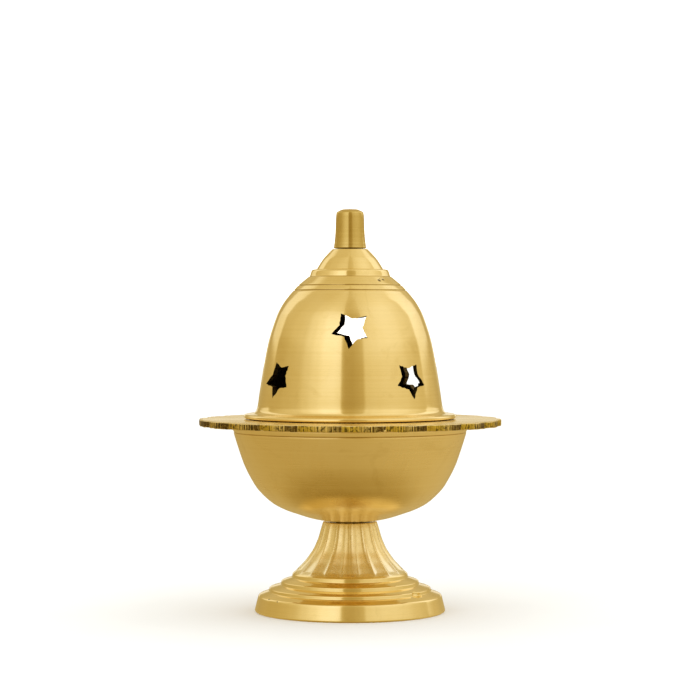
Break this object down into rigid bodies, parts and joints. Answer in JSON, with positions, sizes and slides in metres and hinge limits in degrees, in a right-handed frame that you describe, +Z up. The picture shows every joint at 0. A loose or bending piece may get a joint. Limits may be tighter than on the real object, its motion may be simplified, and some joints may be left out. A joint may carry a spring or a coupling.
{
  "type": "incense burner",
  "caption": "Turned-brass incense burner: fluted foot, scalloped bowl with a slotted wick holder inside, and a bell-shaped lid with star vents and a knob.",
  "frame": {"origin": "middle of the ring that the foot stands on", "axes": "+Z up along the axis of the turned pieces, -Y towards the viewer, +X to the viewer's right"},
  "size_m": [0.1014, 0.1014, 0.1346],
  "materials": {
    "foot_brass": "polished, turned tiers and cast flutes",
    "bowl_brass": "polished, fine turning lines, filed scallop edge",
    "stud_brass": "reddish, machined thread",
    "cast_brass": "rough casting, dark in the recesses",
    "lid_brass": "polished, fine turning lines, dark patina inside",
    "knob_brass": "brushed"
  },
  "bodies": {
    "base": {"foot": "foot_brass"},
    "bowl_body": {"bowl": "bowl_brass", "bowl_stud": "stud_brass"},
    "holder": {"wick_holder": "cast_brass"},
    "lid": {"lid_dome": "lid_brass", "lid_knob": "knob_brass"}
  },
  "joints": [
    {"name": "bowl_lift", "type": "slide", "parent": "base", "child": "bowl_body", "axis": [0, 0, 1], "range_m": [0, 0.0098]},
    {"name": "holder_lift", "type": "slide", "parent": "bowl_body", "child": "holder", "axis": [0, 0, 1], "range_m": [0, 0.0403]},
    {"name": "lid_lift", "type": "slide", "parent": "bowl_body", "child": "lid", "axis": [0, 0, 1], "range_m": [0, 0.0455]}
  ]
}
